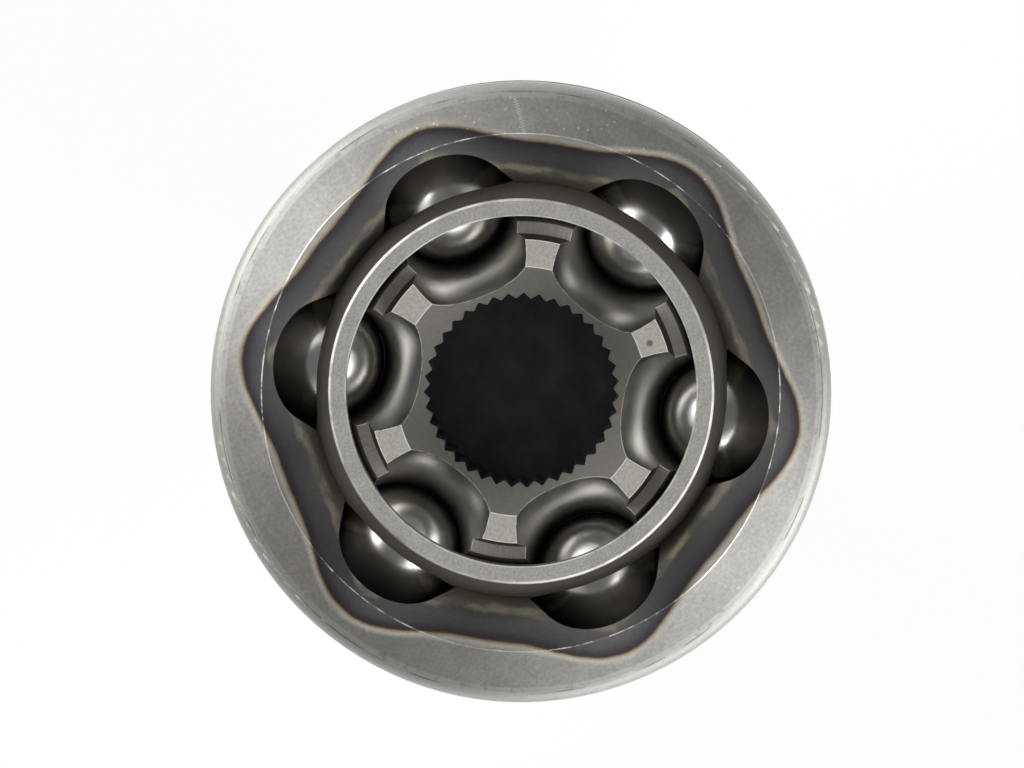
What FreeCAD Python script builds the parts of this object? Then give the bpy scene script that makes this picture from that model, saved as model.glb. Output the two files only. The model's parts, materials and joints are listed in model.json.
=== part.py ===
# Fixed ball joint (outer CV joint) of a front-wheel-drive shaft: a bell forged in one with
# its stub axle, a ball cage, an inner race with a serrated bore, and six balls.
# Frame: millimetres, origin at the joint centre, +Z out of the open mouth of the bell.
# The joint bends about the Y axis. Ball tracks lie at 0, 60 ... 300 degrees about Z.
import FreeCAD, Part
import math
import os
import Sketcher

os.makedirs("parts", exist_ok=True)
doc = FreeCAD.newDocument("FixedBallJoint")

# Sizes that can be set by themselves: alias, value in mm (or degrees, or a count), meaning.
dimensions = [
    ("BallDiameter", 18.256, "ball, 23/32 inch grade"),
    ("BallCount", 6, "balls, tracks and windows"),
    ("BallRise", 3.2, "ball centres stand this far outside the sphere of the inner race"),
    ("TrackOffset", 3.0, "track arc centres lie this far to each side of the joint centre"),
    ("TrackClearance", 0.18, "between a ball and its track, all round"),
    ("BendLimit", 45.0, "degrees the joint bends to each side"),
    ("TrackTailMargin", 1.5, "degrees of outer track left behind a ball at full bend"),
    ("TrackWrap", 67.0, "degrees each way that an outer track is round, before its straight flanks"),
    ("TrackFlank", 7.0, "straight flank of an outer track, ending inside the hollow of the bell"),
    ("TrackLead", 75.0, "degrees an outer track runs forwards, out through the mouth"),
    ("GrooveReach", 80.0, "degrees an inner groove runs each way, out through both faces"),
    ("RaceRadius", 26.6, "spherical outside of the inner race"),
    ("RaceFit", 0.05, "inner race to cage, radial"),
    ("RaceFront", 14.5, "joint centre to the front face of the inner race"),
    ("RaceRear", 13.0, "joint centre to the rear face of the inner race"),
    ("CollarHeight", 4.9, "front collar of the inner race above its shoulder"),
    ("CollarDraft", 0.7, "how much wider the collar is at its foot"),
    ("RearChamfer", 1.45, "rear outer corner of the inner race"),
    ("BoreTipRadius", 13.55, "tips of the bore serration"),
    ("BoreToothDepth", 0.73, "depth of the bore serration"),
    ("BoreTeeth", 39, "teeth of the bore serration"),
    ("CountersinkRadius", 18.3, "front countersink of the bore, at the face"),
    ("RearBoreChamfer", 1.6, "rear chamfer of the bore"),
    ("CageWall", 4.95, "cage thickness between its two spheres"),
    ("CageLip", 0.95, "how far the end bores of the cage cut into its inner sphere"),
    ("CageRimWidth", 4.83, "cage rim from window to end face"),
    ("CageOuterEdge", 0.25, "chamfer round the outside of a cage rim"),
    ("CageInnerEdge", 0.15, "chamfer round the inside of a cage rim"),
    ("CageFit", 0.05, "cage to bell, radial"),
    ("WindowClearance", 0.3, "ball to window, each side along the axis"),
    ("WindowPlay", 1.8, "ball to window, each side around the cage"),
    ("WindowCorner", 5.0, "corner radius of a window"),
    ("BellWall", 6.14, "bell wall behind the bottom of a track"),
    ("MouthFaceWidth", 7.5, "turned face at the mouth"),
    ("MouthHeight", 19.5, "joint centre to the mouth face"),
    ("LandHeight", 8.3, "joint centre to where the mouth cone meets the spherical lands"),
    ("MouthRounding", 1.5, "outer edge of the mouth"),
    ("MouthEdge", 0.12, "edge break between mouth face and mouth cone"),
    ("FloorDepth", 28.0, "joint centre to the floor of the bell"),
    ("BootGrooveLand", 8.0, "mouth face to the boot groove"),
    ("BootGrooveWidth", 5.0, "boot groove"),
    ("BootGrooveDepth", 1.6, "boot groove"),
    ("BootGrooveSlope", 0.6, "flank of the boot groove, along the axis"),
    ("NeckRadius", 27.5, "neck behind the bell"),
    ("NeckFillet", 5.0, "hollow between bell and neck"),
    ("ShoulderDepth", 42.0, "joint centre to the bearing shoulder"),
    ("ShoulderEdge", 1.0, "chamfer round the shoulder"),
    ("JournalRadius", 15.3, "plain journal below the shoulder"),
    ("JournalLength", 8.0, "plain journal below the shoulder"),
    ("JournalFillet", 2.0, "root fillet between journal and shoulder"),
    ("HubSplineRadius", 14.6, "hub spline over its teeth"),
    ("HubToothDepth", 0.85, "hub spline tooth"),
    ("HubTeeth", 36, "hub spline teeth"),
    ("HubSplineLength", 42.0, "hub spline"),
    ("HubSplineEdge", 0.8, "chamfer at the free end of the hub spline"),
    ("ReliefRadius", 10.7, "relief between spline and thread"),
    ("ReliefWidth", 3.0, "relief between spline and thread"),
    ("ThreadRootRadius", 11.1, "root of the M24 x 1.5 thread"),
    ("ThreadLength", 22.0, "threaded end"),
    ("ThreadEdge", 1.2, "chamfer at the free end"),
    ("CentreMouthRadius", 5.3, "centre hole at the end face, 60 degree cone"),
    ("CentreDrillRadius", 2.5, "drilled part of the centre hole"),
    ("CentreDrillDepth", 10.0, "end face to the drill's shoulder"),
    ("BoreToothLand", 0.14, "share of the pitch left between the bore's tooth spaces where their cut starts"),
    ("BoreRootLand", 0.1, "share of the pitch that a space of the bore takes at its root"),
    ("HubToothLand", 0.3, "share of the pitch left between the spline's tooth spaces where their cut starts"),
    ("HubRootLand", 0.25, "share of the pitch that a space of the hub spline takes at its root"),
    ("ToothOverrun", 1.0, "the cut of a tooth space starts this far beyond the tooth tips"),
]

# Sizes that follow from the ones above.
derived = [
    ("BallRadius", "=BallDiameter / 2"),
    ("PitchRadius", "=RaceRadius + BallRise"),
    ("TrackArc", "=sqrt(PitchRadius ^ 2 + TrackOffset ^ 2)"),
    ("GrooveRadius", "=BallRadius + TrackClearance"),
    ("CageInner", "=RaceRadius + RaceFit"),
    ("CageOuter", "=CageInner + CageWall"),
    ("CageBore", "=CageInner - CageLip"),
    ("WindowHalfHeight", "=BallRadius + WindowClearance"),
    ("WindowHalfLength", "=BallRadius + WindowPlay"),
    ("CageEnd", "=WindowHalfHeight + CageRimWidth"),
    ("BellLand", "=CageOuter + CageFit"),
    ("BellRadius", "=TrackArc + GrooveRadius + BellWall"),
    ("MouthRadius", "=BellRadius - MouthFaceWidth"),
    ("GrooveTop", "=MouthHeight - BootGrooveLand"),
    ("GrooveFoot", "=GrooveTop - BootGrooveWidth"),
    ("JournalEnd", "=-ShoulderDepth - JournalLength"),
    ("SplineEnd", "=JournalEnd - HubSplineLength"),
    ("ReliefEnd", "=SplineEnd - ReliefWidth"),
    ("StubEnd", "=ReliefEnd - ThreadLength"),
    ("DrillShoulder", "=StubEnd + CentreDrillDepth"),
    ("ShoulderHeight", "=RaceFront - CollarHeight"),
    ("FaceRadius", "=sqrt(RaceRadius ^ 2 - RaceFront ^ 2)"),
    ("RearShoulder", "=sqrt(RaceRadius ^ 2 - (RaceRear - RearChamfer) ^ 2)"),
    ("CageRim", "=sqrt(CageOuter ^ 2 - CageEnd ^ 2)"),
    ("LipHeight", "=sqrt(CageInner ^ 2 - CageBore ^ 2)"),
    ("NeckTop", "=TrackOffset - sqrt(BellRadius ^ 2 - NeckRadius ^ 2)"),
    ("TrackTail", "=asin(TrackOffset / TrackArc) + asin(GrooveRadius / TrackArc)"
                  " + (BendLimit / 2 + TrackTailMargin) * 1 deg"),
    ("BorePitch", "=2 * pi * BoreTipRadius / BoreTeeth"),
    ("BoreSpaceTop", "=BorePitch * (1 - BoreToothLand) / 2"),
    ("BoreSpaceRoot", "=BorePitch * BoreRootLand / 2"),
    ("HubPitch", "=2 * pi * HubSplineRadius / HubTeeth"),
    ("HubSpaceTop", "=HubPitch * (1 - HubToothLand) / 2"),
    ("HubSpaceRoot", "=HubPitch * HubRootLand / 2"),
]


def make_sheet():
    sheet = doc.addObject("Spreadsheet::Sheet", "Dims")
    for row, (alias, size, meaning) in enumerate(dimensions, start=1):
        sheet.set(f"A{row}", meaning)
        sheet.set(f"B{row}", str(size))
        sheet.setAlias(f"B{row}", alias)
    for row, (alias, formula) in enumerate(derived, start=len(dimensions) + 1):
        sheet.set(f"A{row}", "worked out")
        sheet.set(f"B{row}", formula)
        sheet.setAlias(f"B{row}", alias)
    doc.recompute()
    return sheet


sheet = make_sheet()
names = [row[0] for row in dimensions + derived]


def bound(text):
    # "MouthRadius - 2" becomes "Dims.MouthRadius - 2", which an expression can read
    words = []
    word = ""
    for letter in text + " ":
        if letter.isalnum():
            word += letter
        else:
            words.append("Dims." + word if word in names else word)
            words.append(letter)
            word = ""
    return "".join(words).strip()


def size(text):
    return float(sheet.evalExpression(bound(text)))


def new_body(label):
    body = doc.addObject("PartDesign::Body", label)
    body.Label = label
    return body


def origin_item(body, role):
    return next(item for item in body.Origin.OriginFeatures if item.Role == role)


def new_sketch(body, name, role, offset=None):
    sketch = body.newObject("Sketcher::SketchObject", name)
    sketch.AttachmentSupport = [(origin_item(body, role), "")]
    sketch.MapMode = "FlatFace"
    if offset:
        sketch.setExpression("AttachmentOffset.Base.z", bound(offset))
    doc.recompute()
    return sketch


def hold(sketch, constraint, text):
    index = sketch.addConstraint(constraint)
    sketch.setExpression(f"Constraints[{index}]", bound(text))


def corner(across, up, arc=None, free=None):
    # One corner of an outline. arc = (height of the arc's centre on the axis, radius) bends the
    # edge that follows. free = "across" or "up" leaves that coordinate to the arc beside it.
    return {"across": across, "up": up, "arc": arc, "free": free}


def add_edge(sketch, first, second):
    start = FreeCAD.Vector(size(first["across"]), size(first["up"]), 0)
    end = FreeCAD.Vector(size(second["across"]), size(second["up"]), 0)
    if not first["arc"]:
        return sketch.addGeometry(Part.LineSegment(start, end), False), 1, 2
    centre_height, radius = first["arc"]
    centre = FreeCAD.Vector(0, size(centre_height), 0)
    angle_start = math.atan2(start.y - centre.y, start.x)
    angle_end = math.atan2(end.y - centre.y, end.x)
    circle = Part.Circle(centre, FreeCAD.Vector(0, 0, 1), size(radius))
    turned = angle_end < angle_start
    low, high = sorted((angle_start, angle_end))
    edge = sketch.addGeometry(Part.ArcOfCircle(circle, low, high), False)
    return (edge, 2, 1) if turned else (edge, 1, 2)


def draw_outline(sketch, corners):
    edges = []
    for first, second in zip(corners, corners[1:] + corners[:1]):
        edges.append(add_edge(sketch, first, second))
    for (edge, _, tail), (follower, head, _) in zip(edges, edges[1:] + edges[:1]):
        sketch.addConstraint(Sketcher.Constraint("Coincident", edge, tail, follower, head))
    for (edge, head, _), point in zip(edges, corners):
        if point["arc"]:
            centre_height, radius = point["arc"]
            sketch.addConstraint(Sketcher.Constraint("PointOnObject", edge, 3, -2))
            level = Sketcher.Constraint("DistanceY", -1, 1, edge, 3, size(centre_height))
            hold(sketch, level, centre_height)
            hold(sketch, Sketcher.Constraint("Radius", edge, size(radius)), radius)
        if point["across"] == "0":
            sketch.addConstraint(Sketcher.Constraint("PointOnObject", edge, head, -2))
        elif point["free"] != "across":
            reach = Sketcher.Constraint("DistanceX", -1, 1, edge, head, size(point["across"]))
            hold(sketch, reach, point["across"])
        if point["free"] != "up":
            level = Sketcher.Constraint("DistanceY", -1, 1, edge, head, size(point["up"]))
            hold(sketch, level, point["up"])
    doc.recompute()


def revolve(body, name, corners):
    sketch = new_sketch(body, name + "Outline", "XZ_Plane")
    draw_outline(sketch, corners)
    turned = body.newObject("PartDesign::Revolution", name)
    turned.Profile = sketch
    turned.ReferenceAxis = (sketch, ["V_Axis"])
    turned.Angle = 360
    doc.recompute()
    body.Tip = turned
    return turned


def must_cut(before, feature):
    if feature.Shape.Volume >= before - 1e-6:
        raise RuntimeError(feature.Label + " removes nothing")


def repeat(body, name, feature, count):
    pattern = body.newObject("PartDesign::PolarPattern", name)
    pattern.Originals = [feature]
    pattern.Axis = (origin_item(body, "Z_Axis"), [""])
    pattern.Angle = 360
    pattern.setExpression("Occurrences", bound(count))
    body.Tip = pattern
    doc.recompute()
    must_cut(feature.Shape.Volume, pattern)
    return pattern


def circular_edges(shape, rings):
    # Names of the full circles about Z that match one of the (radius, height) rings.
    found = []
    for radius, height in rings:
        for number, edge in enumerate(shape.Edges, start=1):
            if not isinstance(edge.Curve, Part.Circle):
                continue
            same_radius = abs(edge.Curve.Radius - size(radius)) < 0.01
            same_height = abs(edge.CenterOfMass.z - size(height)) < 0.01 or (
                abs(edge.Curve.Center.z - size(height)) < 0.01)
            on_axis = math.hypot(edge.Curve.Center.x, edge.Curve.Center.y) < 0.01
            if same_radius and same_height and on_axis:
                found.append(f"Edge{number}")
    if not found:
        raise RuntimeError("no edge found")
    return found


def dress(body, kind, name, rings, amount):
    # kind is Fillet or Chamfer
    base = body.Tip
    feature = body.newObject("PartDesign::" + kind, name)
    feature.Base = (base, circular_edges(base.Shape, rings))
    feature.setExpression("Radius" if kind == "Fillet" else "Size", bound(amount))
    body.Tip = feature
    doc.recompute()
    return feature


def round_section(sketch):
    # A full circle: the groove of the inner race.
    centre = FreeCAD.Vector(size("TrackArc"), 0, 0)
    circle = Part.Circle(centre, FreeCAD.Vector(0, 0, 1), size("GrooveRadius"))
    edge = sketch.addGeometry(circle, False)
    sketch.addConstraint(Sketcher.Constraint("PointOnObject", edge, 3, -1))
    hold(sketch, Sketcher.Constraint("DistanceX", -1, 1, edge, 3, size("TrackArc")), "TrackArc")
    hold(sketch, Sketcher.Constraint("Radius", edge, size("GrooveRadius")), "GrooveRadius")


def flanked_section(sketch):
    # A round bottom that runs on in two straight, opening flanks: the track of the bell.
    wrap = math.radians(size("TrackWrap"))
    centre = FreeCAD.Vector(size("TrackArc"), 0, 0)
    circle = Part.Circle(centre, FreeCAD.Vector(0, 0, 1), size("GrooveRadius"))
    bottom = sketch.addGeometry(Part.ArcOfCircle(circle, -wrap, wrap), False)
    along = FreeCAD.Vector(-math.sin(wrap), math.cos(wrap), 0) * size("TrackFlank")
    upper = sketch.getPoint(bottom, 2)
    lower = sketch.getPoint(bottom, 1)
    mirrored = FreeCAD.Vector(along.x, -along.y, 0)
    top = sketch.addGeometry(Part.LineSegment(upper, upper + along), False)
    back = sketch.addGeometry(Part.LineSegment(upper + along, lower + mirrored), False)
    foot = sketch.addGeometry(Part.LineSegment(lower + mirrored, lower), False)
    sketch.addConstraint(Sketcher.Constraint("Tangent", bottom, 2, top, 1))
    sketch.addConstraint(Sketcher.Constraint("Coincident", top, 2, back, 1))
    sketch.addConstraint(Sketcher.Constraint("Coincident", back, 2, foot, 1))
    sketch.addConstraint(Sketcher.Constraint("Tangent", foot, 2, bottom, 1))
    sketch.addConstraint(Sketcher.Constraint("PointOnObject", bottom, 3, -1))
    sketch.addConstraint(Sketcher.Constraint("Vertical", back))
    hold(sketch, Sketcher.Constraint("DistanceX", -1, 1, bottom, 3, size("TrackArc")), "TrackArc")
    hold(sketch, Sketcher.Constraint("Radius", bottom, size("GrooveRadius")), "GrooveRadius")
    level = "GrooveRadius * sin(TrackWrap * 1 deg)"
    hold(sketch, Sketcher.Constraint("DistanceY", -1, 1, bottom, 2, size(level)), level)
    hold(sketch, Sketcher.Constraint("Distance", top, size("TrackFlank")), "TrackFlank")


def cut_tracks(body, name, section, centre_height, ahead, behind):
    # A ball track is a section turned about the tangent line through its arc centre.
    sketch = new_sketch(body, name + "Section", "XY_Plane", centre_height)
    section(sketch)
    doc.recompute()
    before = body.Tip.Shape.Volume
    track = body.newObject("PartDesign::Groove", name)
    track.Profile = sketch
    track.ReferenceAxis = (sketch, ["V_Axis"])
    track.Type = "TwoAngles"
    track.setExpression("Angle", bound(behind))
    track.setExpression("Angle2", bound(ahead))
    body.Tip = track
    doc.recompute()
    must_cut(before, track)
    return repeat(body, name + "Pattern", track, "BallCount")


def cut_teeth(body, name, start, length, tip, wide, root, narrow, count):
    # One tooth space, a trapezium from beyond the tips to the roots, cut along the axis and repeated.
    # wide and narrow are half its width where the cut starts and at the roots.
    sketch = new_sketch(body, name + "Space", "XY_Plane", start)
    draw_outline(sketch, [
        corner(tip, "-" + wide),
        corner(root, "-" + narrow),
        corner(root, narrow),
        corner(tip, wide),
    ])
    before = body.Tip.Shape.Volume
    space = body.newObject("PartDesign::Pocket", name)
    space.Profile = sketch
    space.setExpression("Length", bound(length))
    body.Tip = space
    doc.recompute()
    must_cut(before, space)
    return repeat(body, name + "Pattern", space, count)


def make_outer_race():
    body = new_body("outer_race")
    revolve(body, "Bell", [
        corner("0", "-FloorDepth"),
        corner("sqrt(BellLand ^ 2 - FloorDepth ^ 2)", "-FloorDepth", arc=("0", "BellLand"), free="across"),
        corner("sqrt(BellLand ^ 2 - LandHeight ^ 2)", "LandHeight", free="across"),
        corner("MouthRadius", "MouthHeight"),
        corner("BellRadius", "MouthHeight"),
        corner("BellRadius", "GrooveTop"),
        corner("BellRadius - BootGrooveDepth", "GrooveTop - BootGrooveSlope"),
        corner("BellRadius - BootGrooveDepth", "GrooveFoot + BootGrooveSlope"),
        corner("BellRadius", "GrooveFoot"),
        corner("BellRadius", "TrackOffset", arc=("TrackOffset", "BellRadius"), free="across"),
        corner("NeckRadius", "NeckTop", free="up"),
        corner("NeckRadius", "-ShoulderDepth"),
        corner("JournalRadius", "-ShoulderDepth"),
        corner("JournalRadius", "JournalEnd"),
        corner("HubSplineRadius", "JournalEnd"),
        corner("HubSplineRadius", "SplineEnd + HubSplineEdge"),
        corner("HubSplineRadius - HubSplineEdge", "SplineEnd"),
        corner("ReliefRadius", "SplineEnd"),
        corner("ReliefRadius", "ReliefEnd"),
        corner("ThreadRootRadius", "ReliefEnd"),
        corner("ThreadRootRadius", "StubEnd + ThreadEdge"),
        corner("ThreadRootRadius - ThreadEdge", "StubEnd"),
        corner("CentreMouthRadius", "StubEnd"),
        corner("CentreDrillRadius", "StubEnd + (CentreMouthRadius - CentreDrillRadius) * sqrt(3)"),
        corner("CentreDrillRadius", "DrillShoulder"),
        corner("0", "DrillShoulder + CentreDrillRadius / sqrt(3)"),
    ])
    dress(body, "Fillet", "MouthEdgeRound", [("BellRadius", "MouthHeight")], "MouthRounding")
    dress(body, "Fillet", "NeckHollow", [("NeckRadius", "NeckTop")], "NeckFillet")
    dress(body, "Fillet", "JournalRoot", [("JournalRadius", "-ShoulderDepth")], "JournalFillet")
    dress(body, "Chamfer", "ShoulderBreak", [("NeckRadius", "-ShoulderDepth")], "ShoulderEdge")
    dress(body, "Chamfer", "MouthBreak", [("MouthRadius", "MouthHeight")], "MouthEdge")
    cut_tracks(body, "Track", flanked_section, "TrackOffset", "TrackLead", "TrackTail")
    cut_teeth(body, "HubTooth", "JournalEnd", "HubSplineLength",
              "HubSplineRadius + ToothOverrun", "HubSpaceTop",
              "HubSplineRadius - HubToothDepth", "HubSpaceRoot", "HubTeeth")
    return body


def make_cage():
    body = new_body("cage")
    revolve(body, "Ring", [
        corner("CageBore", "CageEnd"),
        corner("CageBore", "LipHeight", arc=("0", "CageInner"), free="up"),
        corner("CageBore", "-LipHeight", free="up"),
        corner("CageBore", "-CageEnd"),
        corner("CageRim", "-CageEnd", arc=("0", "CageOuter"), free="across"),
        corner("CageRim", "CageEnd", free="across"),
    ])
    dress(body, "Chamfer", "OuterBreak", [("CageRim", "CageEnd"), ("CageRim", "-CageEnd")], "CageOuterEdge")
    dress(body, "Chamfer", "InnerBreak", [("CageBore", "CageEnd"), ("CageBore", "-CageEnd")], "CageInnerEdge")
    cut_windows(body)
    return body


def cut_windows(body):
    sketch = new_sketch(body, "WindowOutline", "YZ_Plane")
    half_length = size("WindowHalfLength")
    half_height = size("WindowHalfHeight")
    radius = size("WindowCorner")
    edges = []
    quarter = math.pi / 2
    for turn, (side, level) in enumerate([(1, 1), (-1, 1), (-1, -1), (1, -1)]):
        centre = FreeCAD.Vector(side * (half_length - radius), level * (half_height - radius), 0)
        circle = Part.Circle(centre, FreeCAD.Vector(0, 0, 1), radius)
        arc = Part.ArcOfCircle(circle, turn * quarter, (turn + 1) * quarter)
        edges.append(sketch.addGeometry(arc, False))
    for turn, arc in enumerate(edges):
        follower = edges[(turn + 1) % 4]
        start = sketch.getPoint(arc, 2)
        end = sketch.getPoint(follower, 1)
        line = sketch.addGeometry(Part.LineSegment(start, end), False)
        sketch.addConstraint(Sketcher.Constraint("Tangent", arc, 2, line, 1))
        sketch.addConstraint(Sketcher.Constraint("Tangent", line, 2, follower, 1))
        sketch.addConstraint(Sketcher.Constraint("Horizontal" if turn % 2 == 0 else "Vertical", line))
        if turn:
            sketch.addConstraint(Sketcher.Constraint("Equal", edges[0], arc))
    hold(sketch, Sketcher.Constraint("Radius", edges[0], radius), "WindowCorner")
    across = "WindowHalfLength - WindowCorner"
    up = "WindowHalfHeight - WindowCorner"
    hold(sketch, Sketcher.Constraint("DistanceX", -1, 1, edges[0], 3, size(across)), across)
    hold(sketch, Sketcher.Constraint("DistanceY", -1, 1, edges[0], 3, size(up)), up)
    hold(sketch, Sketcher.Constraint("DistanceX", edges[2], 3, -1, 1, size(across)), across)
    hold(sketch, Sketcher.Constraint("DistanceY", edges[2], 3, -1, 1, size(up)), up)
    doc.recompute()
    before = body.Tip.Shape.Volume
    window = body.newObject("PartDesign::Pocket", "Window")
    window.Profile = sketch
    window.Reversed = True
    window.setExpression("Length", bound("CageOuter + CageWall"))
    body.Tip = window
    doc.recompute()
    must_cut(before, window)
    repeat(body, "Windows", window, "BallCount")


def make_inner_race():
    body = new_body("inner_race")
    revolve(body, "Star", [
        corner("BoreTipRadius", "RaceFront - (CountersinkRadius - BoreTipRadius)"),
        corner("CountersinkRadius", "RaceFront"),
        corner("FaceRadius", "RaceFront"),
        corner("FaceRadius + CollarDraft", "ShoulderHeight"),
        corner("sqrt(RaceRadius ^ 2 - ShoulderHeight ^ 2)", "ShoulderHeight", arc=("0", "RaceRadius"),
               free="across"),
        corner("RearShoulder", "RearChamfer - RaceRear", free="across"),
        corner("RearShoulder - RearChamfer", "-RaceRear"),
        corner("BoreTipRadius + RearBoreChamfer", "-RaceRear"),
        corner("BoreTipRadius", "RearBoreChamfer - RaceRear"),
    ])
    cut_tracks(body, "Groove", round_section, "-TrackOffset", "GrooveReach", "GrooveReach")
    cut_teeth(body, "BoreTooth", "RaceFront", "RaceFront + RaceRear",
              "BoreTipRadius - ToothOverrun", "BoreSpaceTop",
              "BoreTipRadius + BoreToothDepth", "BoreSpaceRoot", "BoreTeeth")
    return body


def make_ball(number):
    ball = doc.addObject("Part::Sphere", f"ball_{number}")
    ball.Label = f"ball_{number}"
    ball.setExpression("Radius", bound("BallRadius"))
    turn = f"{number - 1} * 360 / BallCount"
    ball.setExpression("Placement.Base.x", bound(f"PitchRadius * cos(({turn}) * 1 deg)"))
    ball.setExpression("Placement.Base.y", bound(f"PitchRadius * sin(({turn}) * 1 deg)"))
    return ball


def check_document():
    for item in doc.Objects:
        if "Invalid" in item.State or "Error" in item.State:
            raise RuntimeError(item.Label + " did not compute: " + str(item.State))


def export(parts):
    for part in parts:
        shape = part.Shape
        if shape.isNull() or not shape.isValid() or len(shape.Solids) != 1:
            raise RuntimeError(part.Label + " is not one valid solid")
    for part in parts:
        part.Shape.exportStep(f"parts/{part.Label}.step")
        print(f"{part.Label}: {part.Shape.Volume:.1f} mm3")


parts = [make_outer_race(), make_cage(), make_inner_race()]
parts += [make_ball(number) for number in range(1, int(size("BallCount")) + 1)]
doc.recompute()
check_document()
export(parts)
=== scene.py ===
import json
import math

import bpy
from mathutils import Matrix, Vector


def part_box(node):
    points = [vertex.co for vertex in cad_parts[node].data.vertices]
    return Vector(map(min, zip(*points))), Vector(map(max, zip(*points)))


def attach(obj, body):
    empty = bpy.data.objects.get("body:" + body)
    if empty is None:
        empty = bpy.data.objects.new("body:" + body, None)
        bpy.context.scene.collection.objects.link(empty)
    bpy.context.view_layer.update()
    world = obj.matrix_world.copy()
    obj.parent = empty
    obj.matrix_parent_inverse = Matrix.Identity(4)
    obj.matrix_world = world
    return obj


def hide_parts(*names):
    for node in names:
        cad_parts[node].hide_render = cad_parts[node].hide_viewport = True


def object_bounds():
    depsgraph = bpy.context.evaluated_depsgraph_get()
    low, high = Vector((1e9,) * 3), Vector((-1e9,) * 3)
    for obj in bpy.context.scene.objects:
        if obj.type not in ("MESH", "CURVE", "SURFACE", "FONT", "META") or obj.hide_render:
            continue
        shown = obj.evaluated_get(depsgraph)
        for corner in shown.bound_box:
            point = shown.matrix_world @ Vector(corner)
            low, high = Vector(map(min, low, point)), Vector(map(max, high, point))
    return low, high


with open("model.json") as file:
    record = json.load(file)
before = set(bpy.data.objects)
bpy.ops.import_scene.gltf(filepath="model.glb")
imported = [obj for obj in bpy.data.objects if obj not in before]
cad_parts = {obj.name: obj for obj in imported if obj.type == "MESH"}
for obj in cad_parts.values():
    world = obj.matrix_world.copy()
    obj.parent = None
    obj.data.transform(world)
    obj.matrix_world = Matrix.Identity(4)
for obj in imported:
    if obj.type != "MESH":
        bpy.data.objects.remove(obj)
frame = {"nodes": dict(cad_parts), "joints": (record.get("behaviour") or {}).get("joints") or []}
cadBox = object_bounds()
nodes = frame["nodes"]
print("frame loaded:", ", ".join(sorted(nodes)))

# What the CAD nodes and joints say, in millimetres.
metre = 1000
ballLow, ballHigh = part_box("ball_1")
ballRadius = (ballHigh.z - ballLow.z) / 2 * metre
pitchRadius = (ballHigh.x + ballLow.x) / 2 * metre
trackOffset = next(joint["pos_m"][2] for joint in frame["joints"] if joint["name"] == "ball_1_track") * metre
trackArc = math.hypot(pitchRadius, trackOffset)
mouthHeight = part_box("outer_race")[1].z * metre
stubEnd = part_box("outer_race")[0].z * metre
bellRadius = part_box("outer_race")[1].x * metre
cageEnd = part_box("cage")[1].z * metre
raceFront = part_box("inner_race")[1].z * metre


cameraLook = {
    "tilt": 2.47,  # degrees off the axis of the bell
    "lean": 18.2,  # azimuth the camera leans to
    "upAzimuth": 38.2,  # azimuth that points up in the picture
    "distance": 2.0,
    "across": 0.1511,  # metres of the joint's plane across the picture
    "centreX": 0.0103,  # where the joint centre lies, as a share of the picture's width
    "centreY": -0.0033,
}


def pointAround(azimuth, elevation, distance=1.0):
    turn = math.radians(azimuth)
    rise = math.radians(elevation)
    flat = math.cos(rise) * distance
    return Vector((flat * math.cos(turn), flat * math.sin(turn), math.sin(rise) * distance))


def addCamera():
    look = cameraLook
    data = bpy.data.cameras.new("camera")
    camera = bpy.data.objects.new("camera", data)
    bpy.context.scene.collection.objects.link(camera)
    back = pointAround(look["lean"], 90 - look["tilt"])
    up = pointAround(look["upAzimuth"], 0)
    up = (up - up.project(back)).normalized()
    right = up.cross(back)
    aim = -(look["centreX"] * right + look["centreY"] * up) * look["across"]
    stand = aim + back * look["distance"]
    turn = Matrix((right, up, back)).transposed().to_4x4()
    camera.matrix_world = Matrix.Translation(stand) @ turn
    data.sensor_width = 36
    data.lens = data.sensor_width * look["distance"] / look["across"]
    data.clip_start = 0.05
    data.clip_end = 20
    data.dof.use_dof = False
    bpy.context.scene.camera = camera


addCamera()
print("camera placed")


# Small steps that the light and the finishes are made of. A value is a socket or a plain number.

def feed(tree, socket, value):
    if isinstance(value, bpy.types.NodeSocket):
        tree.links.new(value, socket)
    elif isinstance(value, tuple) and len(value) == 3 and socket.type == "RGBA":
        socket.default_value = (*value, 1)
    else:
        socket.default_value = value


def calc(tree, operation, first, second=0.0, third=0.0):
    node = tree.nodes.new("ShaderNodeMath")
    node.operation = operation
    for socket, value in zip(node.inputs, (first, second, third)):
        feed(tree, socket, value)
    return node.outputs[0]


def squareSum(tree, first, second):
    return calc(tree, "ADD", calc(tree, "MULTIPLY", first, first), calc(tree, "MULTIPLY", second, second))


def remainder(tree, share):  # what a share leaves of the whole
    return calc(tree, "SUBTRACT", 1.0, share)


def both(tree, *shares):
    product = shares[0]
    for share in shares[1:]:
        product = calc(tree, "MULTIPLY", product, share)
    return product


def highest(tree, *shares):
    top = shares[0]
    for share in shares[1:]:
        top = calc(tree, "MAXIMUM", top, share)
    return top


def fade(tree, value, low, high):  # 0 below low, 1 above high; falling where low is the higher one
    node = tree.nodes.new("ShaderNodeMapRange")
    node.interpolation_type = "SMOOTHSTEP"
    rising = low < high
    feed(tree, node.inputs["Value"], value)
    node.inputs["From Min"].default_value = min(low, high)
    node.inputs["From Max"].default_value = max(low, high)
    node.inputs["To Min"].default_value = 0 if rising else 1
    node.inputs["To Max"].default_value = 1 if rising else 0
    return node.outputs["Result"]


def band(tree, value, centre, half, soft):  # 1 within half of centre, fading out over soft
    away = calc(tree, "ABSOLUTE", calc(tree, "SUBTRACT", value, centre))
    return fade(tree, away, half + soft, half)


def blend(tree, share, first, second):
    node = tree.nodes.new("ShaderNodeMix")
    node.data_type = "RGBA"
    node.clamp_factor = True
    feed(tree, node.inputs["Factor"], share)
    feed(tree, node.inputs[6], first)
    feed(tree, node.inputs[7], second)
    return node.outputs[2]


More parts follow.
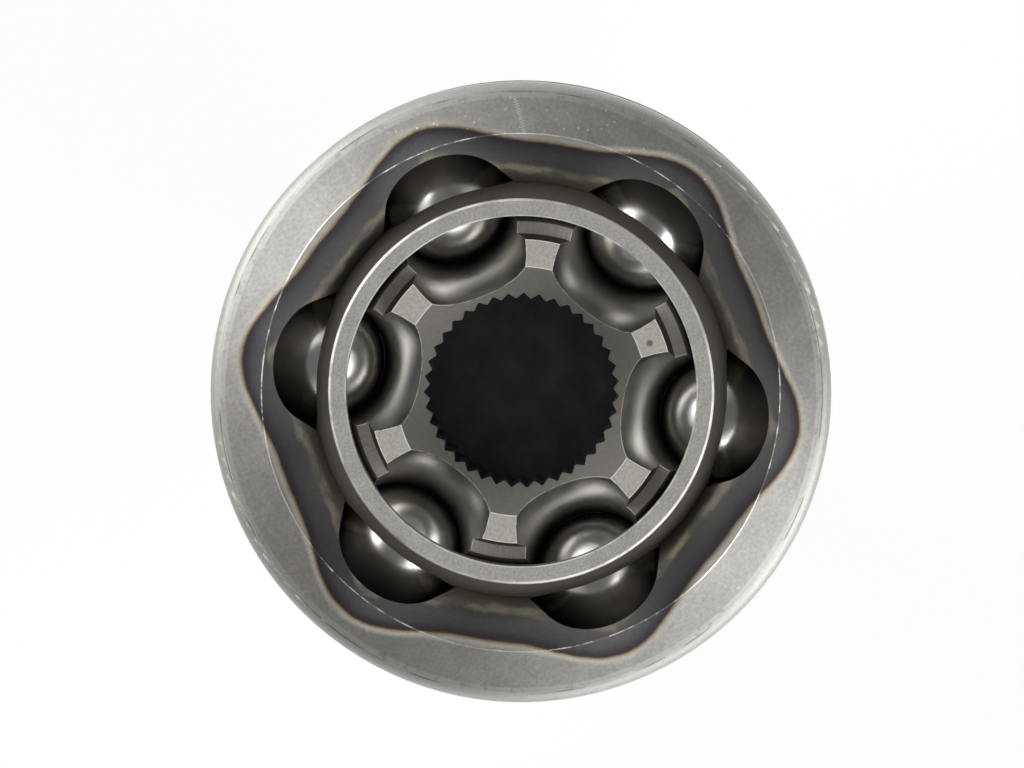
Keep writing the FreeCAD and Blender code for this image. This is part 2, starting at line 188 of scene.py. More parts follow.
def level(tree, share, first, second):  # a number between first and second
    node = tree.nodes.new("ShaderNodeMix")
    feed(tree, node.inputs[0], share)
    feed(tree, node.inputs[2], first)
    feed(tree, node.inputs[3], second)
    return node.outputs[0]


def grain(tree, point, scale, detail=2.0, roughness=0.5):
    node = tree.nodes.new("ShaderNodeTexNoise")
    tree.links.new(point, node.inputs["Vector"])
    node.inputs["Scale"].default_value = scale
    node.inputs["Detail"].default_value = detail
    node.inputs["Roughness"].default_value = roughness
    return node.outputs["Fac"]


def shaded(tree, colour, factor):  # colour times a factor
    node = tree.nodes.new("ShaderNodeVectorMath")
    node.operation = "SCALE"
    feed(tree, node.inputs[0], colour)
    feed(tree, node.inputs["Scale"], factor)
    return node.outputs[0]


def vector(tree, x, y, z):
    node = tree.nodes.new("ShaderNodeCombineXYZ")
    for socket, value in zip(node.inputs, (x, y, z)):
        feed(tree, socket, value)
    return node.outputs[0]


def tints(tree, value, stops):
    node = tree.nodes.new("ShaderNodeValToRGB")
    ramp = node.color_ramp
    while len(ramp.elements) < len(stops):
        ramp.elements.new(0.5)
    for element, (position, colour) in zip(ramp.elements, stops):
        element.position = position
        element.color = (*colour, 1)
    feed(tree, node.inputs["Fac"], value)
    return node.outputs["Color"]


def bump(tree, height, strength, depth, normal=None):  # depth in millimetres
    node = tree.nodes.new("ShaderNodeBump")
    node.inputs["Strength"].default_value = strength
    node.inputs["Distance"].default_value = depth / metre
    tree.links.new(height, node.inputs["Height"])
    if normal:
        tree.links.new(normal, node.inputs["Normal"])
    return node.outputs["Normal"]


studio = {
    "floorSize": 3.0,
    "paper": 0.9,
    "paperGlow": 0.88,  # share of plain white in what the camera sees of the floor
    "turn": -51.8,  # azimuth that points right in the picture
    "zenith": 0.20,  # dark overhead, where the camera stands
    "horizon": (0.30, 1.0),  # towards the sides, towards far and near
    "horizonHeights": (0.15, 0.48),  # sine of the elevation: horizon below, zenith above
    # ring of light round the zenith: its dim sides, its bright sides, its near side
    "ringDim": 0.06,
    "ringBright": 2.6,
    "ringNear": 0.20,
    "ringAzimuth": 146,
    "ringSharpness": 1.3,
    "ringHeights": (0.90, 0.76, 0.60, 0.36),  # sine of the elevation: starts, full, still full, gone
    # azimuth in the picture, elevation, distance, width, height, watts
    "softboxes": {
        "left": (150, 46, 0.70, 0.34, 0.24, 1.0),
        "right": (328, 46, 0.70, 0.34, 0.24, 0.95),
        "near": (285, 40, 0.80, 0.30, 0.18, 0.6),
    },
}


def addSoftbox(name, azimuth, elevation, distance, width, height, watts):
    data = bpy.data.lights.new("softbox_" + name, "AREA")
    data.shape = "RECTANGLE"
    data.size = width
    data.size_y = height
    data.energy = watts
    lamp = bpy.data.objects.new("softbox_" + name, data)
    bpy.context.scene.collection.objects.link(lamp)
    stand = pointAround(azimuth + studio["turn"], elevation, distance)
    lamp.location = stand
    lamp.rotation_euler = stand.to_track_quat("Z", "Y").to_euler()


def tentStrength(tree):  # dark overhead, a ring of light round it, paler towards far and near
    coordinates = tree.nodes.new("ShaderNodeTexCoord")
    split = tree.nodes.new("ShaderNodeSeparateXYZ")
    tree.links.new(coordinates.outputs["Generated"], split.inputs[0])
    x, y, z = split.outputs
    starts, full, stillFull, gone = studio["ringHeights"]
    ring = both(tree, fade(tree, z, starts, full), fade(tree, z, gone, stillFull))
    # how far a direction points along the bright sides of the ring, 0 to 1, and towards its near side
    brightWay = pointAround(studio["ringAzimuth"] + studio["turn"], 0)
    nearWay = pointAround(270 + studio["turn"], 0)
    flat = calc(tree, "MAXIMUM", remainder(tree, calc(tree, "MULTIPLY", z, z)), 0.001)
    along = calc(tree, "MULTIPLY_ADD", x, brightWay.x, calc(tree, "MULTIPLY", y, brightWay.y))
    along = calc(tree, "DIVIDE", calc(tree, "MULTIPLY", along, along), flat)
    along = calc(tree, "POWER", along, studio["ringSharpness"])
    near = calc(tree, "MULTIPLY_ADD", x, nearWay.x, calc(tree, "MULTIPLY", y, nearWay.y))
    ends = calc(tree, "DIVIDE", calc(tree, "MULTIPLY", near, near), flat)
    horizon = level(tree, ends, *studio["horizon"])
    near = calc(tree, "MAXIMUM", near, 0.0)
    glow = calc(tree, "MULTIPLY_ADD", along, studio["ringBright"], studio["ringDim"])
    glow = calc(tree, "MULTIPLY_ADD", near, studio["ringNear"], glow)
    base = level(tree, fade(tree, z, *studio["horizonHeights"]), horizon, studio["zenith"])
    return calc(tree, "MULTIPLY_ADD", ring, glow, base)


def addWorld():
    world = bpy.data.worlds.new("studio")
    bpy.context.scene.world = world
    world.use_nodes = True
    tree = world.node_tree
    tree.nodes.clear()
    output = tree.nodes.new("ShaderNodeOutputWorld")
    rays = tree.nodes.new("ShaderNodeLightPath")
    tent = tree.nodes.new("ShaderNodeBackground")
    white = tree.nodes.new("ShaderNodeBackground")
    mix = tree.nodes.new("ShaderNodeMixShader")
    tent.inputs["Color"].default_value = (1, 1, 1, 1)
    white.inputs["Color"].default_value = (1, 1, 1, 1)
    white.inputs["Strength"].default_value = 1
    tree.links.new(tentStrength(tree), tent.inputs["Strength"])
    tree.links.new(rays.outputs["Is Camera Ray"], mix.inputs[0])
    tree.links.new(tent.outputs[0], mix.inputs[1])
    tree.links.new(white.outputs[0], mix.inputs[2])
    tree.links.new(mix.outputs[0], output.inputs["Surface"])


def addFloor():
    bpy.ops.object.select_all(action="DESELECT")
    bpy.ops.mesh.primitive_plane_add(size=studio["floorSize"], location=(0, 0, cadBox[0][2]))
    floor = bpy.context.object
    floor.name = "floor"
    bpy.ops.object.transform_apply(location=True, rotation=True, scale=True)
    paint = bpy.data.materials.new("floorPaper")
    paint.use_nodes = True
    tree = paint.node_tree
    paper = tree.nodes["Principled BSDF"]
    paper.inputs["Base Color"].default_value = (studio["paper"], studio["paper"], studio["paper"], 1)
    paper.inputs["Roughness"].default_value = 0.9
    paper.inputs["Specular IOR Level"].default_value = 0
    glow = tree.nodes.new("ShaderNodeEmission")
    mix = tree.nodes.new("ShaderNodeMixShader")
    rays = tree.nodes.new("ShaderNodeLightPath")
    share = calc(tree, "MULTIPLY", rays.outputs["Is Camera Ray"], studio["paperGlow"])
    tree.links.new(share, mix.inputs[0])
    tree.links.new(paper.outputs[0], mix.inputs[1])
    tree.links.new(glow.outputs[0], mix.inputs[2])
    tree.links.new(mix.outputs[0], tree.nodes["Material Output"].inputs["Surface"])
    floor.data.materials.append(paint)


bpy.context.scene.view_settings.view_transform = "Standard"
addWorld()
addFloor()
for name, spec in studio["softboxes"].items():
    addSoftbox(name, *spec)
print("studio lit")


def surfacePlace(tree):  # where a point of the surface lies, in millimetres and radians about Z
    coordinates = tree.nodes.new("ShaderNodeTexCoord")
    point = shaded(tree, coordinates.outputs["Object"], metre)
    split = tree.nodes.new("ShaderNodeSeparateXYZ")
    tree.links.new(point, split.inputs[0])
    x, y, z = split.outputs
    radius = calc(tree, "SQRT", squareSum(tree, x, y))
    angle = calc(tree, "ARCTAN2", y, x)
    return {"point": point, "x": x, "y": y, "z": z, "r": radius, "angle": angle}


def trackDistance(tree, place, arcHeight):  # from the surface to the nearest line that ball centres follow
    half = math.pi / 6  # half the angle from track to track
    local = calc(tree, "WRAP", place["angle"], half, -half)
    outward = calc(tree, "MULTIPLY", place["r"], calc(tree, "COSINE", local))
    sideways = calc(tree, "MULTIPLY", place["r"], calc(tree, "SINE", local))
    upward = calc(tree, "SUBTRACT", place["z"], arcHeight)
    past = calc(tree, "SUBTRACT", calc(tree, "SQRT", squareSum(tree, outward, upward)), trackArc)
    return calc(tree, "SQRT", squareSum(tree, past, sideways))


def newSteel(name, anisotropy=0.0):
    paint = bpy.data.materials.new(name)
    paint.use_nodes = True
    tree = paint.node_tree
    steel = tree.nodes["Principled BSDF"]
    steel.inputs["Metallic"].default_value = 1
    if anisotropy:
        tangent = tree.nodes.new("ShaderNodeTangent")
        tangent.direction_type = "RADIAL"
        tangent.axis = "Z"
        tree.links.new(tangent.outputs[0], steel.inputs["Tangent"])
        steel.inputs["Anisotropic"].default_value = anisotropy
        steel.inputs["Anisotropic Rotation"].default_value = 0.25  # lathe marks spread light sideways
    return paint, tree, steel


def dressNode(name, paint):
    node = nodes[name]
    if not node.data.materials:
        node.data.materials.append(paint)
    for slot in node.material_slots:
        slot.material = paint


# Bell: turned outside and mouth face, heat-tinted edge of the hardened inside, black oily floor.
journalTop = -42.0
journalFoot = -50.0
bell = {
    "turned": (0.57, 0.56, 0.53),
    "mouthEdge": (0.55, 0.54, 0.51),
    "land": (0.13, 0.115, 0.095),
    "streak": (0.33, 0.30, 0.22),
    "track": (0.13, 0.12, 0.11),
    "oil": (0.10, 0.10, 0.105),
    # near-white of the specks, scratches and gouge, and of the painted highlights along the mouth face's
    # edges
    "scratchAndGlint": (0.86, 0.85, 0.82),
    "roundingDark": (0.10, 0.095, 0.085),
    "tintAtLand": 36.5,  # radius of the hardened zone's edge between two tracks
    "tintRise": 4.4,  # how much farther out that edge runs at a track
    "tintSharpness": 1.7,
    # millimetres outside the edge of the hardened zone, colour there
    "tint": [
        (-5.0, (0.118, 0.119, 0.112)),
        (-3.0, (0.094, 0.096, 0.093)),
        (-1.4, (0.070, 0.070, 0.073)),
        (-0.6, (0.043, 0.040, 0.048)),
        (-0.12, (0.036, 0.027, 0.036)),
        (0.05, (0.075, 0.045, 0.032)),
        (0.22, (0.22, 0.17, 0.11)),
        (0.60, (0.43, 0.40, 0.32)),
        (1.50, (0.57, 0.56, 0.53)),
    ],
    # top, bottom and colour of the zones outside, in millimetres from the joint centre
    "outside": [
        (11.5, 6.5, (0.26, 0.25, 0.235)),  # boot groove
        (3.0, -33.5, (0.17, 0.165, 0.155)),  # forged back
        (journalTop, journalFoot, (0.60, 0.59, 0.57)),
        (journalFoot, -92.2, (0.30, 0.28, 0.25)),  # spline
        (-92.2, -117.0, (0.24, 0.23, 0.215)),  # relief and threaded end
    ],
    "splineTint": (0.12, 0.10, 0.13),
    "splineTintHeight": -86.0,
    "mouthFaceWidth": 7.5,
    "rounding": 1.5,
    "landFoot": 32.0,  # across the flat side of the cone, where the lands begin
    "oilHeights": (-9.0, -15.0),  # first film, all black
    "floorHeight": -28.6,  # under the floor inside
    "wallMiddle": 42.0,  # sphere between the inside and the outside of the wall
    "grooveRadius": ballRadius + 0.18,
    "gougeAngle": math.radians(38.3),
    "gougeSlant": 0.0067,  # radians per millimetre outwards
    "gougePivot": 40.4,
    "gougeMiddle": 40.6,
    "gougeHalf": 2.6,
    "knockedSide": (0.75, 0.45),  # radians to each side of the gouge: no specks, many
    # features of each pattern to a millimetre
    "blotchScale": 0.22,
    "speckleScale": 1.7,
    "flakeScale": 1.0,
    "ringScale": 1.5,
    # strength and depth in millimetres of the marks in relief
    "ringRelief": (0.12, 0.02),
    "speckleRelief": (0.25, 0.02),
    "anisotropy": 0.8,
    "coatedMetallic": 0.5,
    "turnedRoughness": (0.32, 0.42),
    "coatedRoughness": (0.34, 0.46),
    "trackRoughness": 0.26,
    "journalRoughness": 0.24,
    "edgeRoughness": 0.48,
}


def pastHardened(tree, place):  # how far outside the hardened zone a point lies
    lobes = calc(tree, "COSINE", calc(tree, "MULTIPLY", place["angle"], 6.0))
    lobes = calc(tree, "POWER", calc(tree, "MULTIPLY_ADD", lobes, 0.5, 0.5), bell["tintSharpness"])
    edge = calc(tree, "MULTIPLY_ADD", lobes, bell["tintRise"], bell["tintAtLand"])
    wander = calc(tree, "MULTIPLY_ADD", grain(tree, place["point"], 0.25, 3), 0.5, -0.25)
    return calc(tree, "ADD", calc(tree, "SUBTRACT", place["r"], edge), wander)


def heatTint(tree, place, outside):
    first = bell["tint"][0][0]
    span = bell["tint"][-1][0] - first
    share = calc(tree, "DIVIDE", calc(tree, "SUBTRACT", outside, first), span)
    tint = tints(tree, share, [((distance - first) / span, colour) for distance, colour in bell["tint"]])
    tint = shaded(tree, tint, level(tree, place["speckle"], 0.65, 1.35))
    patches = fade(tree, grain(tree, place["point"], 0.05, 1), 0.35, 0.65)
    return shaded(tree, tint, level(tree, patches, 0.72, 1.25))


def innerColour(tree, place, colour, track):  # lands, brown streaks above them, tracks, black floor
    blotch, speckle = place["blotch"], place["speckle"]
    local = calc(tree, "SUBTRACT", calc(tree, "WRAP", place["angle"], math.pi / 3, 0.0), math.pi / 6)
    chord = calc(tree, "MULTIPLY", place["r"], calc(tree, "COSINE", local))
    wander = calc(tree, "MULTIPLY_ADD", grain(tree, place["point"], 0.3, 3), 1.6, -0.8)
    chord = calc(tree, "ADD", chord, wander)
    land = shaded(tree, bell["land"], level(tree, speckle, 0.7, 1.3))
    colour = blend(tree, fade(tree, chord, bell["landFoot"], bell["landFoot"] - 0.6), colour, land)
    patches = level(tree, fade(tree, blotch, 0.36, 0.60), 0.25, 0.9)
    streak = both(tree, band(tree, chord, bell["landFoot"] + 0.2, 0.15, 0.75), patches)
    colour = blend(tree, streak, colour, shaded(tree, bell["streak"], level(tree, speckle, 0.5, 1.4)))
    colour = blend(tree, track, colour, shaded(tree, bell["track"], level(tree, blotch, 0.7, 1.3)))
    oil = shaded(tree, bell["oil"], level(tree, blotch, 0.3, 1.6))
    return blend(tree, fade(tree, place["z"], *bell["oilHeights"]), colour, oil)


def outsideColour(tree, place, turned):  # colours along the outside, from the mouth down
    z = place["z"]
    colour = turned
    tones = level(tree, place["speckle"], 0.75, 1.25)
    for top, bottom, tone in bell["outside"]:
        zone = both(tree, fade(tree, z, top, top - 0.3), fade(tree, z, bottom - 0.3, bottom))
        colour = blend(tree, zone, colour, shaded(tree, tone, tones))
    hot = band(tree, z, bell["splineTintHeight"], 1.2, 3.0)
    hot = both(tree, hot, level(tree, place["blotch"], 0.4, 1.0))
    return blend(tree, hot, colour, bell["splineTint"])


def insideShare(tree, place, mouth):  # 1 inside the bell and on its mouth face
    upward = calc(tree, "SUBTRACT", place["z"], trackOffset)
    wall = bell["wallMiddle"] ** 2
    inside = fade(tree, squareSum(tree, place["r"], upward), wall + 20, wall - 20)
    aboveFloor = fade(tree, place["z"], bell["floorHeight"] - 0.1, bell["floorHeight"] + 0.1)
    return highest(tree, both(tree, aboveFloor, inside), mouth)


def faceMarks(tree, place, outside, mouth, rim):  # specks, fine scratches, one gouge, and painted highlights along the face's two edges, broken in places by real nicks
    r, point = place["r"], place["point"]
    onFace = fade(tree, outside, 0.0, 0.6)
    gougeStart = bell["gougeAngle"] - bell["gougePivot"] * bell["gougeSlant"]
    slant = calc(tree, "MULTIPLY_ADD", r, bell["gougeSlant"], gougeStart)
    course = calc(tree, "SUBTRACT", place["angle"], slant)
    flakes = tree.nodes.new("ShaderNodeTexVoronoi")
    flakes.inputs["Scale"].default_value = bell["flakeScale"]
    tree.links.new(point, flakes.inputs["Vector"])
    specks = both(tree, fade(tree, flakes.outputs["Distance"], 0.24, 0.12), mouth, remainder(tree, rim))
    knocked = fade(tree, calc(tree, "ABSOLUTE", course), *bell["knockedSide"])
    worn = highest(tree, knocked, fade(tree, grain(tree, point, 0.20, 2), 0.57, 0.68))
    specks = both(tree, specks, worn, fade(tree, grain(tree, point, 0.9, 2), 0.46, 0.54), onFace, 0.85)
    stretched = calc(tree, "MULTIPLY_ADD", place["y"], 3.0, place["x"])
    slanted = vector(tree, calc(tree, "MULTIPLY", place["x"], 0.25), stretched, place["z"])
    scratches = band(tree, grain(tree, slanted, 0.8, 2), 0.50, 0.003, 0.005)
    scratches = both(tree, scratches, fade(tree, place["blotch"], 0.50, 0.62), onFace, 0.5)
    ticks = calc(tree, "SINE", calc(tree, "MULTIPLY_ADD", r, 17.0, calc(tree, "MULTIPLY", course, 300.0)))
    gouge = both(tree, band(tree, course, 0.0, 0.005, 0.005), fade(tree, ticks, -0.7, 0.5), mouth)
    gouge = both(tree, gouge, band(tree, r, bell["gougeMiddle"], bell["gougeHalf"], 0.5))
    # painted highlight: a broken near-white line along the edge of the outer rounding, partly real nicks
    broken = level(tree, fade(tree, grain(tree, point, 0.8, 3), 0.36, 0.46), 0.15, 0.5)
    nickedGlint = both(tree, band(tree, r, bellRadius - bell["rounding"] - 0.3, 0.30, 0.25), mouth, broken)
    # painted highlight: a broken near-white line along the inner edge of the mouth face
    broken = level(tree, fade(tree, grain(tree, point, 0.3, 4, 0.7), 0.45, 0.62), 0.04, 0.75)
    lip = both(tree, band(tree, r, bellRadius - bell["mouthFaceWidth"], 0.03, 0.10), mouth, broken)
    return highest(tree, specks, scratches, gouge, nickedGlint, lip)


def bellFinish():
    paint, tree, steel = newSteel("bellSteel", bell["anisotropy"])
    place = surfacePlace(tree)
    r, z, point = place["r"], place["z"], place["point"]
    blotch = grain(tree, point, bell["blotchScale"], 3)
    speckle = grain(tree, point, bell["speckleScale"], 4, 0.7)
    place.update(blotch=blotch, speckle=speckle)
    turned = shaded(tree, bell["turned"], level(tree, fade(tree, speckle, 0.30, 0.70), 0.89, 1.10))
    turned = shaded(tree, turned, level(tree, blotch, 0.82, 1.14))

    outside = pastHardened(tree, place)
    bright = fade(tree, outside, 0.3, 1.5)
    gap = trackDistance(tree, place, trackOffset)
    track = fade(tree, gap, bell["grooveRadius"] + 0.06, bell["grooveRadius"] + 0.02)
    inner = blend(tree, bright, heatTint(tree, place, outside), turned)
    inner = innerColour(tree, place, inner, track)

    mouth = fade(tree, z, mouthHeight - 0.25, mouthHeight - 0.15)
    hollow = insideShare(tree, place, mouth)
    edgeStart = bellRadius - bell["rounding"]
    nearMouth = fade(tree, z, mouthHeight - 3, mouthHeight - 2)
    rim = both(tree, fade(tree, r, edgeStart, edgeStart + 0.1), nearMouth)
    # a dark broken line along the edge of the rounding
    roundingLine = both(tree, band(tree, r, edgeStart + 0.12, 0.07, 0.12), rim)
    roundingLine = both(tree, roundingLine, fade(tree, grain(tree, point, 0.12, 3), 0.44, 0.58), 0.75)
    colour = blend(tree, hollow, outsideColour(tree, place, turned), inner)
    colour = blend(tree, rim, colour, shaded(tree, bell["mouthEdge"], level(tree, speckle, 0.8, 1.2)))
    colour = blend(tree, roundingLine, colour, bell["roundingDark"])
    colour = blend(tree, faceMarks(tree, place, outside, mouth, rim), colour, bell["scratchAndGlint"])
    tree.links.new(colour, steel.inputs["Base Color"])

    coated = both(tree, hollow, remainder(tree, bright))  # scale of the heat treatment
    tree.links.new(level(tree, coated, 1.0, bell["coatedMetallic"]), steel.inputs["Metallic"])
    turnedRough = level(tree, speckle, *bell["turnedRoughness"])
    coatedRough = level(tree, speckle, *bell["coatedRoughness"])
    rough = level(tree, coated, turnedRough, coatedRough)
    rough = level(tree, both(tree, track, hollow), rough, bell["trackRoughness"])
    belowTop = fade(tree, z, journalTop + 0.5, journalTop)
    journal = both(tree, belowTop, fade(tree, z, journalFoot - 0.5, journalFoot))
    rough = level(tree, journal, rough, bell["journalRoughness"])
    tree.links.new(level(tree, rim, rough, bell["edgeRoughness"]), steel.inputs["Roughness"])
    # lathe rings under the fine speckle
    rings = (calc(tree, "MULTIPLY", reach, bell["ringScale"]) for reach in (r, z))
    rings = grain(tree, vector(tree, *rings, 0.0), 1.0, 1.5)
    relief = bump(tree, rings, *bell["ringRelief"])
    relief = bump(tree, speckle, *bell["speckleRelief"], relief)
    tree.links.new(relief, steel.inputs["Normal"])
    return paint


dressNode("outer_race", bellFinish())
print("bell finished")


# Thread on the free end of the stub: a ridge wound on the plain core.
thread = {
    "pitch": 1.5,
    "root": 11.05,
    "crest": 11.95,
    "ridge": (0.06, 0.44, 0.56, 0.94),  # shares of the pitch: foot, crest, crest, foot
    "length": 20.5,
    "lead": 1.4,  # plain start at the free end
    "steps": 64,
}


def addThread(paint):
    pitch = thread["pitch"] / metre
    start = (stubEnd + thread["lead"]) / metre
    radii = (thread["root"], thread["crest"], thread["crest"], thread["root"])
    bpy.ops.object.select_all(action="DESELECT")
    bpy.ops.mesh.primitive_plane_add(size=1)
    winding = bpy.context.object
    winding.name = "stub_thread"
    for corner, radius, share in zip((0, 1, 3, 2), radii, thread["ridge"]):
        winding.data.vertices[corner].co = (radius / metre, 0, start + share * pitch)
    bpy.ops.object.mode_set(mode="EDIT")
    bpy.ops.mesh.select_all(action="SELECT")
    bpy.ops.mesh.delete(type="ONLY_FACE")
    bpy.ops.object.mode_set(mode="OBJECT")
    wind = winding.modifiers.new("wind", "SCREW")
    wind.steps = thread["steps"]
    wind.render_steps = thread["steps"]
    wind.iterations = round(thread["length"] / thread["pitch"]) - 1
    wind.screw_offset = pitch
    wind.use_merge_vertices = False
    bpy.ops.object.modifier_apply(modifier=wind.name)
    bpy.ops.object.mode_set(mode="EDIT")
    bpy.ops.mesh.select_all(action="SELECT")
    bpy.ops.mesh.normals_make_consistent(inside=False)
    bpy.ops.object.mode_set(mode="OBJECT")
    bpy.ops.object.shade_smooth_by_angle(angle=math.radians(35))
    winding.data.materials.append(paint)
    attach(winding, "outer_race")
    print("thread wound:", len(winding.data.polygons), "faces")


addThread(nodes["outer_race"].data.materials[0])


# Cage: satin rims with painted highlights along their edges, dark brown outside.
cage = {
    "rim": (0.56, 0.54, 0.50),
    "rimDark": (0.41, 0.393, 0.36),
    "outside": (0.135, 0.122, 0.105),
    "inside": (0.20, 0.185, 0.165),
    # painted highlight colour for the rim edges
    "edge": (0.92, 0.91, 0.88),
    "outerEdge": 28.08,
    "innerEdge": 25.78,
    "wallMiddle": (26.9, 27.2),  # inside below, outside above
    "mottleScale": 2.6,
    "patchScale": 0.30,
    "relief": (0.4, 0.03),
    "coatedMetallic": 0.25,
    "rimRoughness": (0.40, 0.52),
    "coatedRoughness": 0.50,
}


def cageFinish():
    paint, tree, steel = newSteel("cageSteel")
    place = surfacePlace(tree)
    r, point = place["r"], place["point"]
    mottle = grain(tree, point, cage["mottleScale"], 3, 0.7)
    patches = grain(tree, point, cage["patchScale"], 2)
    rim = fade(tree, calc(tree, "ABSOLUTE", place["z"]), cageEnd - 0.30, cageEnd - 0.22)
    face = blend(tree, fade(tree, mottle, 0.30, 0.66), cage["rimDark"], cage["rim"])
    face = shaded(tree, face, level(tree, patches, 0.85, 1.15))
    skin = blend(tree, fade(tree, r, *cage["wallMiddle"]), cage["inside"], cage["outside"])
    skin = shaded(tree, skin, level(tree, mottle, 0.7, 1.3))
    colour = blend(tree, rim, skin, face)
    # painted highlights: near-white bands along the rims' outer and inner edges, broken in patches, partly
    # rubbed wear
    outerEdge = both(tree, band(tree, r, cage["outerEdge"], 0.12, 0.06), rim)
    innerEdge = both(tree, band(tree, r, cage["innerEdge"], 0.08, 0.05), rim)
    rubbedGlint = level(tree, fade(tree, patches, 0.35, 0.55), 0.4, 1.0)
    edges = both(tree, highest(tree, outerEdge, innerEdge), rubbedGlint)
    tree.links.new(blend(tree, edges, colour, cage["edge"]), steel.inputs["Base Color"])
    rimRough = level(tree, mottle, *cage["rimRoughness"])
    tree.links.new(level(tree, rim, cage["coatedRoughness"], rimRough), steel.inputs["Roughness"])
    # phosphate coat off the ground rims
    tree.links.new(level(tree, rim, cage["coatedMetallic"], 1.0), steel.inputs["Metallic"])
    tree.links.new(bump(tree, mottle, *cage["relief"]), steel.inputs["Normal"])
    return paint


dressNode("cage", cageFinish())
print("cage finished")


# Bore of the inner race: its tooth spaces widened to the full zigzag, on a copy of the node.
bore = {
    "teeth": 39,
    "root": 14.285,
    "cutStart": 13.50,
    "halfWidths": (0.99, 0.11),  # where the cut starts, at the root
    "reach": (-14.0, 12.0),
}


def cutBore(node):
    bpy.ops.object.select_all(action="DESELECT")
    node.select_set(True)
    bpy.context.view_layer.objects.active = node
    bpy.ops.object.duplicate()
    body = bpy.context.object
    body.name = "race_body"
    bpy.ops.mesh.customdata_custom_splitnormals_clear()
    bpy.ops.object.mode_set(mode="EDIT")
    bpy.ops.mesh.select_all(action="SELECT")
    bpy.ops.mesh.remove_doubles(threshold=0.000001)
    bpy.ops.object.mode_set(mode="OBJECT")
    bpy.ops.object.select_all(action="DESELECT")
    bpy.ops.mesh.primitive_cube_add(size=1)
    space = bpy.context.object
    for corner in space.data.vertices:
        atRoot = corner.co.x > 0
        side = 1 if corner.co.y > 0 else -1
        height = bore["reach"][1 if corner.co.z > 0 else 0]
        radius = bore["root"] if atRoot else bore["cutStart"]
        corner.co = Vector((radius, side * bore["halfWidths"][1 if atRoot else 0], height)) / metre
    pivot = bpy.data.objects.new("pivot", None)
    bpy.context.scene.collection.objects.link(pivot)
    pivot.rotation_euler.z = 2 * math.pi / bore["teeth"]
    row = space.modifiers.new("row", "ARRAY")
    row.use_relative_offset = False
    row.use_object_offset = True
    row.offset_object = pivot
    row.count = bore["teeth"]
    bpy.ops.object.modifier_apply(modifier=row.name)
    bpy.context.view_layer.objects.active = body
    cut = body.modifiers.new("cut", "BOOLEAN")
    cut.operation = "DIFFERENCE"
    cut.solver = "EXACT"
    cut.object = space
    bpy.ops.object.modifier_apply(modifier=cut.name)
    bpy.data.objects.remove(space)
    bpy.data.objects.remove(pivot)
    body.select_set(True)
    bpy.ops.object.shade_smooth_by_angle(angle=math.radians(28))
    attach(body, "inner_race")
    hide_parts("inner_race")
    print("bore cut:", len(body.data.polygons), "faces")
    return body


# Inner race: bright flats, dull countersink with painted highlights along the groove edges, polished
# grooves, black bore, painted shade on the collar wall and below the shoulder.
race = {
    "flat": (0.56, 0.54, 0.49),
    "flatDark": (0.46, 0.44, 0.40),
    "countersink": (0.31, 0.295, 0.265),
    "groove": (0.52, 0.51, 0.49),
    # painted shade on the sides of the lands below the shoulder
    "side": (0.17, 0.15, 0.135),
    "shoulder": (0.42, 0.39, 0.36),
    # painted shade on the collar wall between the flats and the shoulder
    "collar": (0.07, 0.06, 0.055),
    "bore": (0.045, 0.045, 0.046),
    # painted highlight colour for the edges
    "edge": (0.92, 0.91, 0.88),
    "rust": (0.12, 0.07, 0.03),
    "rustSpot": (17.2, -10.4),
    "countersinkRadius": 18.3,
    "faceRadius": 22.3,
    "collarDraft": 0.7,
    "boreRoot": 14.28,
    "shoulderHeight": 9.6,
    "mottleScale": 2.2,
    "patchScale": 0.30,
    "hatchLines": 90.0,  # to a radian
    "relief": (0.15, 0.02),
    "coatedMetallic": 0.4,
    "satinRoughness": (0.42, 0.54),
    "grooveRoughness": (0.26, 0.34),
}


def raceZones(tree, place, mottle):  # satin zones of the race, from the outside in, with painted shade on the collar wall and below the shoulder
    r, z = place["r"], place["z"]
    around = calc(tree, "MULTIPLY", place["angle"], race["hatchLines"])
    hatch = vector(tree, around, calc(tree, "MULTIPLY", r, 0.5), z)
    # painted shade: the land sides darken from the shoulder downwards, under the cage rim
    side = fade(tree, z, race["shoulderHeight"] - 0.1, race["shoulderHeight"] - 2.0)
    shoulder = shaded(tree, race["shoulder"], level(tree, grain(tree, hatch, 1.0, 2), 0.72, 1.25))
    shoulder = blend(tree, side, shoulder, race["side"])
    # painted shade: the collar wall is coloured near black
    collarFoot = race["faceRadius"] + race["collarDraft"]
    colour = blend(tree, fade(tree, r, collarFoot, collarFoot + 0.05), race["collar"], shoulder)
    sink = shaded(tree, race["countersink"], level(tree, mottle, 0.75, 1.25))
    inSink = fade(tree, r, race["countersinkRadius"] + 0.3, race["countersinkRadius"])
    return blend(tree, inSink, colour, sink)


def rustShare(tree, place):  # 1 in the middle of the one rust spot
    offX = calc(tree, "SUBTRACT", place["x"], race["rustSpot"][0])
    offY = calc(tree, "SUBTRACT", place["y"], race["rustSpot"][1])
    return fade(tree, squareSum(tree, offX, offY), 0.40, 0.05)


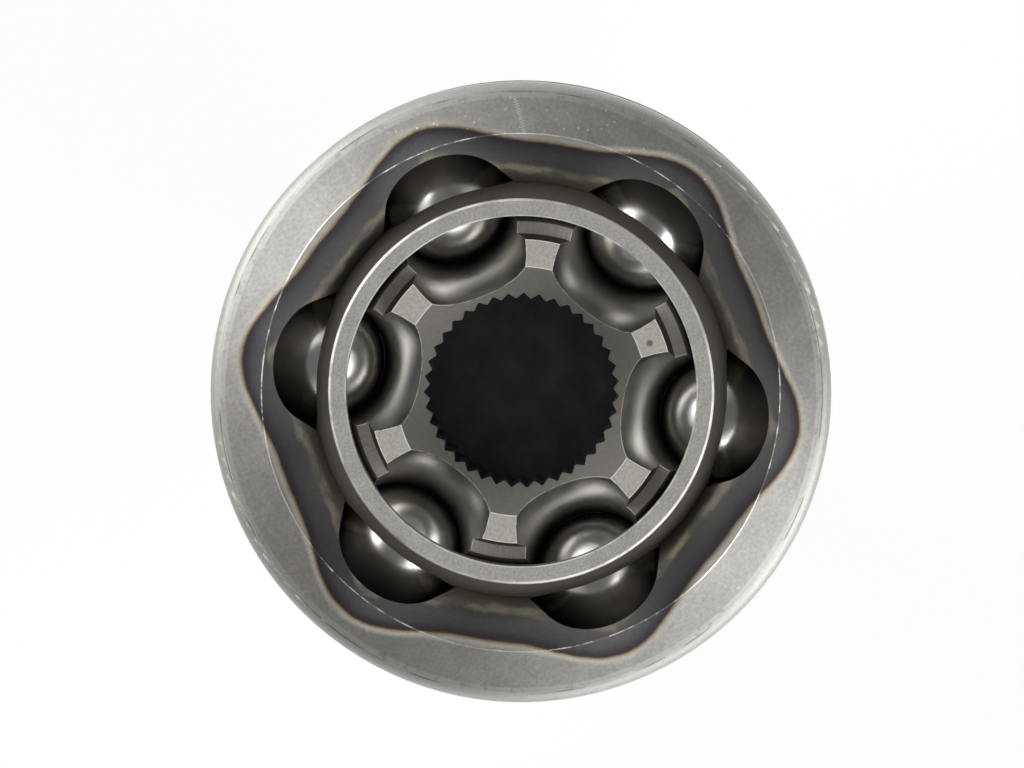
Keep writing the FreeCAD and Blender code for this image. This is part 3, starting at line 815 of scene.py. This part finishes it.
def raceFinish():
    paint, tree, steel = newSteel("raceSteel")
    place = surfacePlace(tree)
    r, z, point = place["r"], place["z"], place["point"]
    mottle = grain(tree, point, race["mottleScale"], 3, 0.7)
    patches = grain(tree, point, race["patchScale"], 2)
    gap = calc(tree, "SUBTRACT", trackDistance(tree, place, -trackOffset), bell["grooveRadius"])
    groove = fade(tree, gap, 0.04, 0.02)
    flat = fade(tree, calc(tree, "ABSOLUTE", calc(tree, "SUBTRACT", z, raceFront)), 0.06, 0.03)
    flatTone = blend(tree, fade(tree, mottle, 0.35, 0.62), race["flatDark"], race["flat"])
    colour = blend(tree, flat, raceZones(tree, place, mottle), flatTone)
    # the bore lies inside its root and under the cone of the countersink
    underCone = calc(tree, "SUBTRACT", calc(tree, "SUBTRACT", r, z), race["countersinkRadius"] - raceFront)
    inBore = fade(tree, r, race["boreRoot"] + 0.15, race["boreRoot"] + 0.05)
    colour = blend(tree, both(tree, inBore, fade(tree, underCone, 0.04, 0.10)), colour, race["bore"])
    colour = blend(tree, both(tree, rustShare(tree, place), flat, 0.75), colour, race["rust"])
    # painted highlights along the groove edges, the countersink lip and the flats' rim, partly wear
    rubbedGlint = fade(tree, grain(tree, point, 0.9, 3), 0.36, 0.52)
    worn = both(tree, fade(tree, gap, 0.16, 0.06), fade(tree, z, 9.0, 9.7), rubbedGlint)
    atFront = fade(tree, z, raceFront - 0.2, raceFront - 0.1)
    lips = both(tree, band(tree, r, race["countersinkRadius"], 0.03, 0.10), atFront)
    rims = both(tree, band(tree, r, race["faceRadius"] - 0.02, 0.03, 0.10), atFront)
    colour = blend(tree, highest(tree, worn, lips, rims), colour, race["edge"])
    ground = shaded(tree, race["groove"], level(tree, patches, 0.75, 1.25))
    tree.links.new(blend(tree, groove, colour, ground), steel.inputs["Base Color"])

    satin = level(tree, mottle, *race["satinRoughness"])
    rough = level(tree, groove, satin, level(tree, patches, *race["grooveRoughness"]))
    tree.links.new(rough, steel.inputs["Roughness"])
    dull = fade(tree, z, race["shoulderHeight"] - 0.1, race["shoulderHeight"] - 0.4)
    coated = both(tree, dull, remainder(tree, groove))
    tree.links.new(level(tree, coated, 1.0, race["coatedMetallic"]), steel.inputs["Metallic"])
    tree.links.new(bump(tree, mottle, *race["relief"]), steel.inputs["Normal"])
    return paint


raceBody = cutBore(nodes["inner_race"])
raceBody.data.materials.clear()
raceBody.data.materials.append(raceFinish())
print("inner race finished")


# Balls: polished, under a thin film of oil.
ball = {
    "steel": (0.56, 0.55, 0.53),
    "film": (0.42, 0.40, 0.37),
    "filmScale": 0.16,
    "roughness": (0.19, 0.27),
}


def ballFinish():
    paint, tree, steel = newSteel("ballSteel")
    film = grain(tree, surfacePlace(tree)["point"], ball["filmScale"], 3)
    colour = blend(tree, fade(tree, film, 0.4, 0.65), ball["steel"], ball["film"])
    tree.links.new(colour, steel.inputs["Base Color"])
    tree.links.new(level(tree, fade(tree, film, 0.35, 0.7), *ball["roughness"]), steel.inputs["Roughness"])
    return paint


ballSteel = ballFinish()
for number in range(1, 7):
    dressNode(f"ball_{number}", ballSteel)
print("balls finished")
